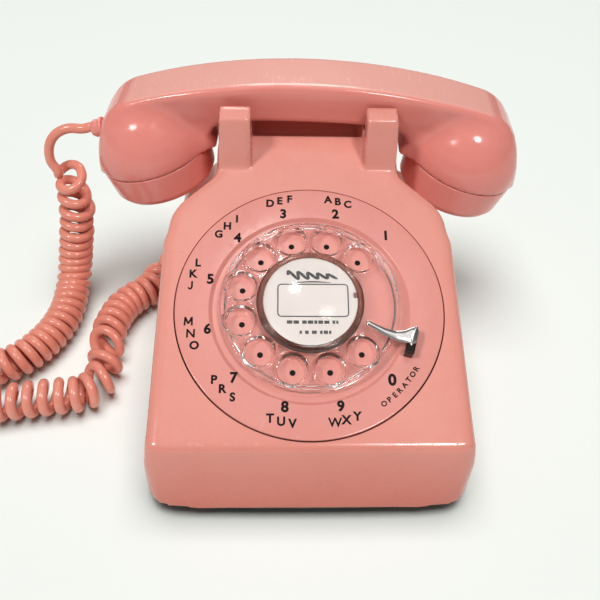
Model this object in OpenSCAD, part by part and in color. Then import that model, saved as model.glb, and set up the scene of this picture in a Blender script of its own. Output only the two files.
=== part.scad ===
// Rotary-dial desk telephone with a lift-off handset, a clear finger wheel
// and a coiled handset cord. Millimetres, +Z up. The origin is under the
// middle of the set, on the surface that the feet stand on. The dial faces -Y.

/* [Housing] */
// width of the housing at its bottom edge
body_w = 140; // [120:1:160]
// depth of the housing, front to back
body_depth = 212; // [190:1:230]
// height of the dial's centre over the table
dial_z = 69; // [60:1:80]
// slope of the dial face
slope_deg = 23; // [15:1:30]
// wall thickness of the moulded housing
wall = 2.6; // [2:0.1:4]
// height of the rubber feet
foot_h = 5.5; // [3:0.5:10]

/* [Dial] */
// diameter of the number plate
plate_d = 118.6; // [110:0.2:125]
// diameter of the finger wheel
wheel_d = 78.6; // [70:0.2:84]
// diameter of the ring of finger holes
hole_ring_d = 62; // [56:0.5:66]
// diameter of one finger hole
finger_hole_d = 12.6; // [11:0.2:14]
// height of the finger wheel's underside over the face
wheel_lift = 3; // [2:0.5:5]

/* [Handset] */
// length of the handset
handset_l = 212; // [200:1:230]
// height of the crown of the handle over the table
crown_z = 131.5; // [125:0.5:140]
// radius of the arch along the top of the handle
arch_r = 310; // [250:5:400]
// width of the handle
handle_w = 30.4; // [26:0.2:36]
// diameter of the earpiece and mouthpiece caps
cap_d = 58; // [50:0.5:60]
// inward tilt of the caps
cap_tilt = 15; // [10:1:25]
// how far the handset is turned in its cradle
handset_skew = 2.8; // [0:0.1:4]
// travel of the cradle buttons
button_travel = 6; // [4:0.5:8]

/* [Cord] */
// outside diameter of the coiled cord
coil_d = 16; // [12:0.5:20]
// diameter of the cord's strand
strand_d = 4.8; // [4:0.1:6]

/* [View] */
// node to draw

/* [Hidden] */
$fn = 64;
eps = 0.01;
front_y = -body_depth / 2;
rear_y = body_depth / 2;
dial_y = front_y + 64.3;
lip_y = front_y + 10.2;
tan_s = tan(slope_deg);
base_t = 2;
floor_z = foot_h + base_t;
shelf_z = 50;
neck_w = 85;
handle_y = 54;
handle_z = 121;
button_x = 34.8;
button_y = 54;
saddle_z = 107.4;
trough_z = 88;
button_top = 108.3;
cap_h = 18;
handset_x = 1.2;
cup_x = 79;
cup_z = 85.5;
pinion_x = -31.5;
governor_y = -17.5;
gear_m = 0.9;
gong_x = 27.2;
gong_y = 69;
clapper_y = 51.6;
coil_z = coil_d / 2 + 0.4;

// route of the cord's centre line: handset end, coil, housing end
tail_a = [[-109.4, 59.4, 99], [-118.5, 60, 99.2], [-127.5, 60, 96.5], [-133.5, 59, 89],
          [-132.5, 57.5, 81.5], [-127, 55, 76]];
coil_path = [[-127, 55, 76], [-120, 52, 68], [-120, 49, 58], [-121, 46, 46],
             [-123, 42, 34], [-126, 37, 22], [-129, 30, 11.5], [-132, 20, coil_z],
             [-137, 7, coil_z], [-143, -5, coil_z], [-150, -14, coil_z],
             [-159, -21, coil_z], [-168, -27, coil_z], [-173.5, -35, coil_z],
             [-170, -44, coil_z], [-160, -48.5, coil_z], [-149, -46.5, coil_z],
             [-138, -43, coil_z], [-126, -41.5, coil_z], [-114, -41, coil_z],
             [-105, -36, coil_z], [-102, -26, coil_z], [-104, -13, coil_z],
             [-105, 1, coil_z], [-103, 13, coil_z], [-97, 23.5, coil_z],
             [-90, 31, coil_z + 1]];
tail_b = [[-90, 31, coil_z + 1], [-84.5, 39, 10], [-81, 48, 12], [-77.5, 56, 14.5],
          [-73, 60.5, 15.8], [-67, 62, 16]];

pink = [0.93, 0.60, 0.56];
clear = [0.95, 0.93, 0.92, 0.45];
steel = [0.72, 0.73, 0.75];
brass = [0.80, 0.67, 0.36];
dark = [0.16, 0.16, 0.17];

// ---------- placement helpers ----------

module at_dial() {
    translate([0, dial_y, dial_z]) rotate([slope_deg, 0, 0]) children();
}

module at_handset() {
    translate([handset_x, handle_y, 0]) rotate([0, 0, -handset_skew]) children();
}

// side is -1 for the mouthpiece and 1 for the earpiece; +Z runs into the cup
module at_cup(side) {
    at_handset() translate([side * cup_x, 0, cup_z]) rotate([0, side * cap_tilt, 0]) children();
}

// section drawn in the YZ plane, extruded along X and centred on it
module along_x(length) {
    rotate([90, 0, 90]) translate([0, 0, -length / 2]) linear_extrude(length) children();
}

// section drawn in the XZ plane, extruded along Y between two stations
module along_y(y0, y1) {
    translate([0, y1, 0]) rotate([90, 0, 0]) linear_extrude(y1 - y0) children();
}

function arc(cx, cy, r, a0, a1, n) =
    [for (i = [0 : n]) let (a = a0 + (a1 - a0) * i / n) [cx + r * cos(a), cy + r * sin(a)]];

function slope_z(y) = dial_z + (y - dial_y) * tan_s;

// mirror a half outline (listed from the middle outward) into a closed one
function both_sides(p) = concat(p, [for (i = [len(p) - 2 : -1 : 1]) [-p[i][0], p[i][1]]]);

// ---------- housing ----------

// side outline, inset by t: front, rolled lip, dial slope, trough, back
function side_outline(t) = concat(
    [[front_y + t, floor_z - (t > 0 ? 1 : 0)]],
    arc(lip_y, slope_z(lip_y) - 3.9 / cos(slope_deg), 3.9 - t, 170, 90 + slope_deg, 5),
    [[38.5 - t, slope_z(38.5 - t) - t / cos(slope_deg)],
     [40.7 - t, slope_z(40.7 - t) - 0.3 - t / cos(slope_deg)], [41.8 - t, 102.6 - t * 1.3],
     [44.5 - t, 92 - t], [48, trough_z - t], [65, trough_z - t], [69 + t, 91 - t],
     [70.5 + t, 100.5 - t], [83 - t, 100.5 - t], [85.5 - t, 97 - t],
     [rear_y - 2.5 - t, 16], [rear_y - t, floor_z - (t > 0 ? 1 : 0)]]);

// outline from above of the full-width body, inset by t
function body_plan(t) = both_sides([
    [0, front_y + t], [25, front_y + 0.2 + t], [48, front_y + 0.9 + t],
    [60, front_y + 2.2 + t], [66.5, front_y + 5 + t], [70.2 - t * 0.8, front_y + 9.5 + t * 0.6],
    [71.8 - t, front_y + 16], [73 - t, front_y + 30], [73 - t, -30], [body_w / 2 + 0.6 - t, 40],
    [69 - t, 70], [66.5 - t, 90], [62 - t, rear_y - 6 - t], [54 - t * 0.4, rear_y - 1.5 - t],
    [44, rear_y - t], [0, rear_y - t]]);

// outline from above of the dial block with its sloping shoulders, inset by t
function block_plan(t) = both_sides([
    [0, front_y - 1], [90, front_y - 1], [90, -12], [66.2 - t, -6], [64.6 - t, 1.5],
    [60.5 - t, 8.2 - t], [neck_w / 2 - t * 0.6, 24 - t], [neck_w / 2 - t, 60], [0, 60]]);

// front outline with drafted sides, inset by t
function front_outline(t) = both_sides([
    [0, floor_z - 1], [body_w / 2 + 2.4 - t, floor_z - 1], [body_w / 2 + 0.6 - t, 24],
    [body_w / 2 - 1.5 - t, 45], [body_w / 2 - 3.4 - t, 83], [body_w / 2 - 4 - t, 140], [0, 140]]);

// section through the cradle neck, flaring out to the body under the handset
function neck_outline(t) = both_sides([
    [0, floor_z - 1], [body_w / 2 - t, floor_z - 1], [body_w / 2 - 1.6 - t, 40 - t],
    [66 - t, 45 - t], [60 - t, 48.5 - t], [52 - t, 52.5 - t], [47.5 - t, 57.5 - t],
    [45 - t, 65 - t], [43.6 - t, 80], [neck_w / 2 - t, 95], [neck_w / 2 - t, 140], [0, 140]]);

module body_solid(t) {
    intersection() {
        along_x(body_w + 10) polygon(side_outline(t));
        translate([0, 0, floor_z - 1]) linear_extrude(140) polygon(body_plan(t));
        union() {
            intersection() {
                translate([0, 0, floor_z - 1]) linear_extrude(140) polygon(block_plan(t));
                along_y(front_y - 1, 60) polygon(front_outline(t));
            }
            along_y(-8 + t, rear_y + 1) polygon(neck_outline(t));
        }
    }
}

// one pair of cradle prongs with the saddle between them
module prong_pair(side) {
    intersection() {
        translate([side * 34.75 - 7.75, 0, 0]) rotate([90, 0, 90]) linear_extrude(15.5)
            polygon([[23.6, 94], [24.2, 99], [26.8, 119.8], [28, 121.2], [34.6, 123],
                     [35.8, 122.6], [36.2, 121], [35.9, 107], [37.5, saddle_z],
                     [71, saddle_z], [72.6, 107], [73.1, 115], [74.6, 117.2], [78, 117.6],
                     [81.5, 116], [83.4, 112], [84.8, 98], [84.8, 80], [23.6, 80]]);
        along_y(0, 100) polygon([[-42.5, 60], [42.5, 60], [42.5, 97], [41, 124],
                                 [-41, 124], [-42.5, 97]]);
    }
}

module housing() {
    color(pink) difference() {
        union() {
            difference() {
                body_solid(0);
                body_solid(wall);
            }
            for (s = [-1, 1]) prong_pair(s);
            // posts that the baseplate's screws pull up against, and their webs
            for (y = [-88, 88]) translate([0, y, floor_z]) cylinder(h = 20, r = 4.2);
            translate([-1.5, front_y + 3.5, floor_z + 2]) cube([3, 16, 14]);
            translate([-1.5, 90, floor_z + 2]) cube([3, rear_y - 4.5 - 90, 14]);
            // pocket walls of the carrying grip
            difference() {
                translate([-34.6, 74, 63.4]) cube([69.2, 22, 27]);
                translate([-50, 0, 0]) rotate([90, 0, 90]) linear_extrude(100)
                    polygon([[85.5, 97], [rear_y - 2.5, 16], [140, 16], [140, 97]]);
            }
        }
        // dial opening
        at_dial() translate([0, 0, -12]) cylinder(h = 30, r = plate_d / 2 + 0.5, $fn = 128);
        // hollow up inside the prongs, and the buttons' guide bores
        for (s = [-1, 1]) {
            translate([s * 34.75 - 5.4, 28, 76]) cube([10.8, 54, saddle_z - 2.6 - 76]);
            translate([s * button_x, button_y, 90]) cylinder(h = 30, r = 4.5);
        }
        // screw bores
        for (y = [-88, 88]) translate([0, y, floor_z - 1]) cylinder(h = 16, r = 1.6);
        // carrying grip under the cradle, open at the back
        translate([-32, 76.6, 66]) cube([64, 40, 21.8]);
        // cord inlets: handset cord at the left, line cord at the back
        translate([-body_w / 2 - 2, 62, 16]) rotate([0, 90, 0]) cylinder(h = 8, r = 4.6);
        translate([34, rear_y - 8, 14]) rotate([-90, 0, 0]) cylinder(h = 12, r = 3.6);
    }
}

// ---------- base ----------

module baseplate() {
    color(steel) difference() {
        translate([0, 0, foot_h]) linear_extrude(base_t) polygon(body_plan(2.2));
        for (y = [-88, 88]) translate([0, y, foot_h - 1]) cylinder(h = base_t + 2, r = 2.1);
        for (x = [-48, 48], y = [-84, 82])
            translate([x, y, foot_h - 1]) cylinder(h = base_t + 2, r = 2.5);
        translate([46, 40, foot_h - 1]) cylinder(h = base_t + 2, r = 3.1);
    }
}

module feet() {
    color(dark) for (x = [-48, 48], y = [-84, 82]) translate([x, y, 0]) {
        rotate_extrude() polygon([[0, 0], [7.6, 0], [8.4, 0.8], [8.4, 4.6], [7.6, foot_h],
                                  [2.5, foot_h], [2.5, floor_z], [0, floor_z]]);
    }
}

module housing_screws() {
    color(steel) for (y = [-88, 88]) translate([0, y, 0]) difference() {
        union() {
            translate([0, 0, foot_h - 1.6]) cylinder(h = 1.6, r = 3.6);
            translate([0, 0, foot_h - 0.1]) cylinder(h = 12, r = 1.6);
        }
        translate([-4, -0.4, foot_h - 2]) cube([8, 0.8, 1]);
    }
}

// ---------- hook switch ----------

module cradle_buttons() {
    color([0.94, 0.90, 0.88, 0.7]) for (s = [-1, 1]) translate([s * button_x, button_y, 0])
        rotate_extrude() polygon([[0, 79], [2.6, 79], [2.6, 92], [5, 92], [5, 94], [4.2, 94],
                                  [4.2, button_top - 1.2], [3, button_top], [0, button_top]]);
}

// bail that the buttons press; it pivots on the bracket's pin
module switch_lever() {
    color(steel) {
        for (s = [-1, 1]) {
            translate([s * button_x - 3, 31, 76.9]) cube([6, 27, 1.6]);
            difference() {
                translate([s * 29.5 - 0.8, 26.5, 69.5]) cube([1.6, 7.5, 7.5]);
                translate([s * 29.5 - 2, 30, 73.2]) rotate([0, 90, 0]) cylinder(h = 4, r = 1.55);
            }
        }
        translate([-37.8, 31, 76.9]) cube([75.6, 5, 1.6]);
        translate([-6, 32, 64]) cube([12, 1.6, 13]);
    }
}

module switch_bracket() {
    color(steel) {
        for (s = [-1, 1]) {
            difference() {
                translate([s * 26 - 0.8, 22, floor_z]) cube([1.6, 16, 76 - floor_z]);
                translate([s * 26 - 2, 30, 73.2]) rotate([0, 90, 0]) cylinder(h = 4, r = 1.5);
            }
            translate([s * 30.5 - 4, 22, floor_z]) cube([8, 16, 1.6]);
        }
        translate([-31.5, 30, 73.2]) rotate([0, 90, 0]) cylinder(h = 63, r = 1.5);
        translate([-25.4, 28.4, 44]) cube([50.8, 1.6, 16]);
    }
}

// pile of spring leaves worked by the lever
module switch_contacts() {
    color(brass) for (i = [0 : 3]) translate([-5, 19.6 + i * 2.2, 50]) cube([10, 0.4, 24]);
    color([0.35, 0.18, 0.10]) for (i = [0 : 3])
        translate([-6, 20 + i * 2.2, 48]) cube([12, 1.8, 9]);
}

// ---------- dial ----------

module number_plate() {
    color(pink) at_dial() rotate_extrude($fn = 128)
        polygon([[8, -2], [8, -0.8], [43.2, -0.8], [44.2, 0.25], [plate_d / 2 - 0.3, 0.25],
                 [plate_d / 2, 0], [plate_d / 2, -5], [plate_d / 2 - 1.5, -5],
                 [plate_d / 2 - 1.5, -2]]);
}

module finger_wheel() {
    color(clear) at_dial() difference() {
        rotate_extrude($fn = 128)
            polygon([[9, wheel_lift], [36.9, wheel_lift], [37.7, 1.2], [wheel_d / 2, 1.2],
                     [wheel_d / 2, 4.2], [wheel_d / 2 - 1, 5.6], [9, 5.6]]);
        for (k = [0 : 9]) rotate([0, 0, 45 + 30 * k]) translate([hole_ring_d / 2, 0, 0]) {
            cylinder(h = 10, r = finger_hole_d / 2);
            translate([0, 0, 4.8]) cylinder(h = 1, r1 = finger_hole_d / 2, r2 = finger_hole_d / 2 + 1);
        }
    }
}

module wheel_hub() {
    color(steel) at_dial() rotate_extrude()
        polygon([[2.5, 0.6], [7, 0.6], [7, 2.8], [9, 2.8], [9, 5.9], [2.5, 5.9]]);
}

module card_retainer() {
    color([0.45, 0.32, 0.20, 0.8]) at_dial() rotate_extrude($fn = 96)
        polygon([[20.6, 5.6], [23.4, 5.6], [23.4, 7.2], [22.6, 8.2], [20.6, 7.9]]);
}

module number_card() {
    color([0.97, 0.96, 0.95]) at_dial() difference() {
        translate([0, 0, 5.9]) cylinder(h = 0.4, r = 20.4);
        translate([18.6, 1.6, 5]) cube([4, 2.6, 3]);
    }
}

module card_window() {
    color(clear) at_dial() translate([0, 0, 6.5]) cylinder(h = 1.2, r = 20.5);
}

module finger_stop() {
    color(steel) at_dial() {
        translate([0, 0, 6.9]) linear_extrude(1.2)
            polygon([[24, -8.6], [28, -10.6], [32, -12.5], [36, -13.6], [40, -13.4], [43, -12],
                     [45.6, -11.6], [46.2, -13.4], [44.6, -19.4], [41, -19.2], [36, -18],
                     [31, -15.8], [27, -13], [23.4, -10.8]]);
        translate([45.9, -11.8, 0.25]) rotate([0, 0, -20]) translate([-1.2, -12.4, 0])
            cube([1.2, 12.4, 7.85]);
    }
}

// a gear blank with straight-sided teeth; the first tooth stands on +X
module gear(teeth, m, h, bore) {
    pitch = teeth * m / 2;
    a = 360 / teeth;
    difference() {
        linear_extrude(h) polygon([for (i = [0 : teeth - 1]) each
            [for (q = [[-0.27, -1.15], [-0.10, 0.7], [0.10, 0.7], [0.27, -1.15]])
                let (r = pitch + q[1] * m, w = (i + q[0]) * a) [r * cos(w), r * sin(w)]]]);
        translate([0, 0, -1]) cylinder(h = h + 2, r = bore);
    }
}

module dial_frame() {
    color(steel) at_dial() {
        difference() {
            union() {
                translate([0, 0, -7]) cylinder(h = 1.6, r = 40);
                for (s = [-1, 1]) translate([s * 45 - 7, -9, -7]) cube([14, 18, 1.6]);
                translate([0, 0, -9.5]) cylinder(h = 6.5, r = 5.5);
                for (a = [60, 180, 300]) rotate([0, 0, a])
                    translate([33, 0, -5.6]) cylinder(h = 3.6, r = 2.5);
                for (q = [[-33, 20], [-12, -32], [18, 27]])
                    translate([q[0], q[1], -22.5]) cylinder(h = 15.6, r = 2.2);
            }
            translate([0, 0, -12]) cylinder(h = 12, r = 2.56);
            translate([pinion_x, 0, -12]) cylinder(h = 9, r = 1.56);
            translate([pinion_x, governor_y, -12]) cylinder(h = 9, r = 1.26);
            for (s = [-1, 1]) translate([s * 45, 0, -9]) cylinder(h = 5, r = 1.9);
        }
    }
}

module dial_rear_plate() {
    color(steel) at_dial() translate([0, 0, -24]) difference() {
        linear_extrude(1.5) polygon([[-46, 22], [-46, -4], [-38, -24], [-12, -37], [0, -30],
                                     [22, 22], [22, 31], [10, 32]]);
        translate([0, 0, -1]) cylinder(h = 4, r = 2.56);
        translate([pinion_x, 0, -1]) cylinder(h = 4, r = 1.56);
        translate([pinion_x, governor_y, -1]) cylinder(h = 4, r = 1.26);
    }
}

module dial_shaft() {
    color(steel) at_dial() translate([0, 0, -26]) cylinder(h = 31.8, r = 2.5);
}

module main_gear() {
    color(brass) at_dial() difference() {
        translate([0, 0, -13]) gear(60, gear_m, 2, 2.5);
        for (k = [0 : 4]) rotate([0, 0, 72 * k + 18]) translate([15, 0, -14]) cylinder(h = 4, r = 5.5);
    }
}

// flat strip wound round the shaft that turns the dial back
module mainspring() {
    n = 90;
    function r(i) = 3.2 + 7.4 * i / n;
    color([0.35, 0.38, 0.45]) at_dial() translate([0, 0, -20]) linear_extrude(5)
        polygon(concat([for (i = [0 : n]) r(i) * [cos(i * 16), sin(i * 16)]],
                       [for (i = [n : -1 : 0]) (r(i) + 0.45) * [cos(i * 16), sin(i * 16)]]));
}

// pinion on the main gear, with the two-lobed cam that makes the pulses
module pulse_cam() {
    color(brass) at_dial() translate([pinion_x, 0, 0]) {
        translate([0, 0, -13.4]) rotate([0, 0, 18]) gear(10, gear_m, 2.8, 1.2);
        translate([0, 0, -20.6]) linear_extrude(1.4)
            polygon([for (i = [0 : 35]) (4.6 + 0.9 * cos(20 * i)) * [cos(10 * i), sin(10 * i)]]);
        translate([0, 0, -24.5]) cylinder(h = 19.5, r = 1.5);
    }
}

module governor_gear() {
    color(brass) at_dial() translate([pinion_x, 0, -18.4]) gear(40, 0.7, 1.4, 1.5);
}

module governor() {
    color(steel) at_dial() translate([pinion_x, governor_y, 0]) {
        translate([0, 0, -18.6]) rotate([0, 0, 90 + 18]) gear(10, 0.7, 1.8, 0.9);
        translate([0, 0, -24.3]) cylinder(h = 18.8, r = 1.2);
        translate([-5.2, -1, -13]) cube([10.4, 2, 1.4]);
        for (s = [-1, 1]) translate([s * 3.9, 0, -14]) cylinder(h = 4, r = 1.9);
    }
}

module governor_cup() {
    color(brass) at_dial() translate([pinion_x, governor_y, -15]) difference() {
        cylinder(h = 8, r = 7.7);
        translate([0, 0, -1]) cylinder(h = 10, r = 6.8);
    }
}

module pulse_contacts() {
    color(brass) at_dial() for (x = [-38.6, -40.8])
        translate([x, -4, -21]) cube([0.4, 22, 2.4]);
    color([0.35, 0.18, 0.10]) at_dial() {
        translate([-40.4, 11, -22.5]) cube([1.8, 8, 3.8]);
        translate([-43.4, 11, -22.5]) cube([2.6, 8, 3.8]);
    }
}

module dial_bracket() {
    color(steel) for (s = [-1, 1]) {
        at_dial() difference() {
            translate([s * 45.1 - 5.5, -9, -8.6]) cube([11, 18, 1.6]);
            translate([s * 45, 0, -10]) cylinder(h = 5, r = 1.9);
        }
        difference() {
            translate([s * 49.8 - 0.8, dial_y - 5, floor_z]) cube([1.6, 14, 60]);
            at_dial() translate([-100, -100, -7.8]) cube(200);
        }
        translate([s * 45 - 5.6, dial_y - 5, floor_z]) cube([11.2, 14, 1.6]);
    }
}

module dial_screws() {
    color(steel) at_dial() for (s = [-1, 1]) translate([s * 45, 0, 0]) difference() {
        union() {
            translate([0, 0, -5.4]) cylinder(h = 2, r = 3.4);
            translate([0, 0, -13]) cylinder(h = 8, r = 1.9);
        }
        translate([-4, -0.4, -4.2]) cube([8, 0.8, 1]);
    }
}

// ---------- network and ringer ----------

module network_block() {
    color([0.22, 0.20, 0.20]) difference() {
        translate([-34, -34, floor_z]) cube([68, 44, 19.5]);
        for (x = [-27.5 : 11 : 27.5], y = [-28, 4])
            translate([x, y, 20]) cylinder(h = 8, r = 1.4);
    }
}

module terminal_screws() {
    color(brass) for (x = [-27.5 : 11 : 27.5], y = [-28, 4]) translate([x, y, 0]) difference() {
        union() {
            translate([0, 0, 27]) cylinder(h = 1.6, r = 2.6);
            translate([0, 0, 20.2]) cylinder(h = 7, r = 1.4);
        }
        translate([-3, -0.3, 28]) cube([6, 0.6, 1]);
    }
}

module ringer_frame() {
    color(steel) {
        difference() {
            translate([-38, 28, floor_z]) cube([76, 50, 1.6]);
            for (s = [-1, 1]) translate([s * 30.1 - 5.7, 20, 0]) cube([11.4, 19, 20]);
        }
        for (s = [-1, 1]) translate([s * gong_x, gong_y, floor_z]) difference() {
            cylinder(h = 27.6 - floor_z, r = 4.5);
            translate([0, 0, 12]) cylinder(h = 20, r = 2);
        }
        translate([0, clapper_y, floor_z]) cylinder(h = 25 - floor_z, r = 1.5);
        // laminated core with its pole pieces turned to the armature
        for (s = [-1, 1]) translate([s * 12 - 1.5, 32, floor_z]) cube([3, 16, 19]);
        translate([-11, 38, 17.4]) cube([22, 5, 5]);
    }
}

module ringer_coil() {
    color([0.55, 0.22, 0.12]) difference() {
        translate([-10.4, 40.5, 19.9]) rotate([0, 90, 0]) cylinder(h = 20.8, r = 7.2);
        translate([-15, 38, 17.4]) cube([30, 5, 5]);
    }
}

// bell-metal gong; drop sets the depth of its skirt
module gong(drop) {
    rotate_extrude($fn = 96)
        polygon([[2, 28.8], [8, 28.8], [15, 27.4], [19.6, 23.8], [21, drop], [19.8, drop],
                 [18.6, 23.2], [14.4, 26.2], [8, 27.6], [2, 27.6]]);
}

module gong_low() {
    color(brass) translate([gong_x, gong_y, 0]) gong(16.5);
}

module gong_high() {
    color(brass) translate([-gong_x, gong_y, 0]) gong(18);
}

module gong_screws() {
    color(steel) for (s = [-1, 1]) translate([s * gong_x, gong_y, 0]) difference() {
        union() {
            translate([0, 0, 28.8]) cylinder(h = 2, r = 4);
            translate([0, 0, 20]) cylinder(h = 9, r = 2);
        }
        translate([-5, -0.4, 30]) cube([10, 0.8, 1]);
    }
}

module ringer_clapper() {
    color(steel) difference() {
        union() {
            translate([-12, clapper_y - 1, 16]) cube([24, 2, 8]);
            translate([0, clapper_y, 15.5]) cylinder(h = 9, r = 3.2);
            translate([-0.8, clapper_y, 19.2]) cube([1.6, 19, 1.6]);
            translate([0, clapper_y + 21.4, 20]) sphere(r = 3.2);
        }
        translate([0, clapper_y, 10]) cylinder(h = 20, r = 1.55);
    }
}

// thumb wheel under the base that sets how loud the ringer is
module volume_wheel() {
    color(dark) translate([46, 40, 0]) {
        translate([0, 0, 2.2]) linear_extrude(2.6)
            polygon([for (i = [0 : 71]) (9 + (i % 2) * 0.5) * [cos(5 * i), sin(5 * i)]]);
        translate([0, 0, 4.6]) cylinder(h = 7, r = 3);
        translate([0, 0, 8]) cylinder(h = 2, r = 5);
        translate([-1, -12, 9.6]) cube([2, 12, 2]);
    }
}

// ---------- handset ----------

function arch_z(x) = crown_z - (arch_r - sqrt(arch_r * arch_r - x * x));

// side outline of the handle and cup shells, down to the caps' parting faces
function handset_outline() =
    let (k = (handset_l - 212) / 2, rx = cap_d / 2 * cos(cap_tilt), rz = cap_d / 2 * sin(cap_tilt))
    both_sides(concat(
        [for (x = [0 : 11 : 88]) [x, arch_z(x)]],
        [[92.4 + k, 116.4], [96.6 + k, 112.9], [100.4 + k, 107.8], [103 + k, 101],
         [104.8 + k, 93], [106 + k, 84], [cup_x + rx, cup_z - rz], [cup_x - rx, cup_z + rz],
         [50.8, 97], [49.9, 101], [48.2, 104.4], [45.2, 107], [39, 108.7], [30, 109.8],
         [18, 110.7], [0, 111]]));

module handset_handle() {
    color(pink) difference() {
        intersection() {
            at_handset() along_y(-28, 28) polygon(handset_outline());
            union() {
                at_handset() along_x(handset_l + 4)
                    polygon(both_sides([[0, 70], [11, 70], [11.6, 105], [13.6, 111],
                                        [handle_w / 2 - 0.1, 123], [handle_w / 2, 134], [0, 134]]));
                for (s = [-1, 1]) at_cup(s) rotate_extrude($fn = 96)
                    polygon([[0, 0], [cap_d / 2, 0], [cap_d / 2 + 0.2, 3], [cap_d / 2 - 0.1, 7],
                             [cap_d / 2 - 1.2, 12], [25.4, 17.5], [22, 23], [17, 28],
                             [10, 32], [4, 34], [0, 34.4]]);
            }
        }
        // cups for the capsules, joined by a wire duct through the handle
        for (s = [-1, 1]) {
            at_cup(s) {
                translate([0, 0, -1]) cylinder(h = 11, r = 22);
                cylinder(h = 14, r = 15);
            }
            at_handset() translate([s * 60, 0, 118]) rotate([0, s * 135, 0]) cylinder(h = 30, r = 3.5);
        }
        at_handset() translate([-62, -5, 114]) cube([124, 10, 7]);
        at_handset() translate([-112, 0, 99]) rotate([0, 90, 0]) cylinder(h = 20, r = 3.2);
    }
}

// threaded cap with a skirt that screws up into the cup
module cap_shell() {
    rotate_extrude($fn = 96)
        polygon([[0, -cap_h], [21.4, -cap_h], [25.4, -cap_h + 1], [27.3, -cap_h + 3.8],
                 [cap_d / 2, -0.5], [22, -0.5], [22, 5], [20, 5], [20, -13], [18.6, 2.4 - cap_h],
                 [0, 2.4 - cap_h]]);
}

module receiver_cap() {
    color(pink) at_cup(1) difference() {
        cap_shell();
        translate([0, 0, -20]) cylinder(h = 10, r = 1.2);
        for (k = [0 : 5]) rotate([0, 0, 60 * k]) translate([6.5, 0, -20]) cylinder(h = 10, r = 1.2);
    }
}

module transmitter_cap() {
    color(pink) at_cup(-1) difference() {
        cap_shell();
        translate([0, 0, -20]) cylinder(h = 10, r = 1);
        for (k = [0 : 5]) rotate([0, 0, 60 * k]) translate([5, 0, -20]) cylinder(h = 10, r = 1);
        for (k = [0 : 11]) rotate([0, 0, 30 * k]) translate([10, 0, -20]) cylinder(h = 10, r = 1);
    }
}

module receiver_unit() {
    color(steel) at_cup(1) rotate_extrude()
        polygon([[0, -15.2], [12, -15.2], [18.2, -13], [19.6, -11], [19.6, 3], [0, 3]]);
}

module transmitter_unit() {
    color(steel) at_cup(-1) rotate_extrude()
        polygon([[0, -15.2], [12, -15.2], [18.2, -13], [19.6, -11], [19.6, 3], [0, 3]]);
}

// contact cup behind the transmitter, with its two springs
module transmitter_cup() {
    color(dark) at_cup(-1) rotate_extrude()
        polygon([[0, 7.6], [19, 7.6], [19, 5.4], [21.6, 5.4], [21.6, 9.4], [0, 9.4]]);
    color(brass) at_cup(-1) for (s = [-1, 1])
        translate([s * 8 - 1.5, -6, 3.2]) cube([3, 0.5, 4.8]);
}

// ---------- cord ----------

function unit(v) = v / norm(v);

// Catmull-Rom curve through the points p, n steps to a span
function curve(p, n) = let (last = len(p) - 1)
    [for (i = [0 : last - 1], j = [0 : n - (i < last - 1 ? 1 : 0)])
        let (a = p[max(i - 1, 0)], b = p[i], c = p[i + 1], d = p[min(i + 2, last)], u = j / n)
        0.5 * (2 * b + (c - a) * u + (2 * a - 5 * b + 4 * c - d) * u * u
               + (3 * b - a - 3 * c + d) * u * u * u)];

function tangent(p, i) = unit(p[min(i + 1, len(p) - 1)] - p[max(i - 1, 0)]);

// side vectors carried along the curve without twisting
function carried(p, i, s) = i >= len(p) ? [] :
    let (t = tangent(p, i), u = unit(s - (s * t) * t)) concat([u], carried(p, i + 1, u));

module tube(p, r, sides) {
    s = carried(p, 0, [0, 0.1, 1]);
    n = len(p);
    pts = [for (i = [0 : n - 1]) let (t = tangent(p, i), w = cross(t, s[i]))
           each [for (k = [0 : sides - 1]) p[i] + r * (cos(360 * k / sides) * s[i]
                                                       + sin(360 * k / sides) * w)]];
    polyhedron(pts, concat(
        [[for (k = [0 : sides - 1]) k]],
        [for (i = [0 : n - 2], k = [0 : sides - 1]) let (k2 = (k + 1) % sides, a = i * sides)
            [a + k, a + sides + k, a + sides + k2]],
        [for (i = [0 : n - 2], k = [0 : sides - 1]) let (k2 = (k + 1) % sides, a = i * sides)
            [a + k, a + sides + k2, a + k2]],
        [[for (k = [sides - 1 : -1 : 0]) (n - 1) * sides + k]]));
}

module handset_gland() {
    color(pink) at_handset() translate([-102.7, 0, 99]) rotate([0, -90, 0])
        rotate_extrude() polygon([[0, -2], [3, -2], [3, 1.8], [5.2, 2.4], [5, 4.4], [3.6, 7.6], [0, 7.6]]);
}

module housing_gland() {
    color(pink) translate([-66, 62, 16]) rotate([0, -90, 0])
        rotate_extrude() polygon([[2.45, -2], [4.4, -2], [4.4, 4], [6, 4.4], [5, 7], [2.45, 7]]);
}

module cord_tail_handset() {
    color(pink) tube(curve(tail_a, 4), strand_d / 2, 10);
}

module cord_coil() {
    color(pink) tube(curve(coil_path, 3), coil_d / 2, 12);
}

module cord_tail_base() {
    color(pink) tube(curve(tail_b, 4), strand_d / 2, 10);
}

housing();
baseplate();
feet();
housing_screws();
cradle_buttons();
switch_lever();
switch_bracket();
switch_contacts();
number_plate();
finger_wheel();
wheel_hub();
card_retainer();
number_card();
card_window();
finger_stop();
dial_frame();
dial_rear_plate();
dial_shaft();
main_gear();
mainspring();
pulse_cam();
governor_gear();
governor();
governor_cup();
pulse_contacts();
dial_bracket();
dial_screws();
network_block();
terminal_screws();
ringer_frame();
ringer_coil();
gong_low();
gong_high();
gong_screws();
ringer_clapper();
volume_wheel();
handset_handle();
receiver_cap();
receiver_unit();
transmitter_cap();
transmitter_cup();
transmitter_unit();
handset_gland();
housing_gland();
cord_tail_handset();
cord_coil();
cord_tail_base();
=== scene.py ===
import math
import bpy
import bmesh
import numpy as np
from mathutils import Matrix, Vector


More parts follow.
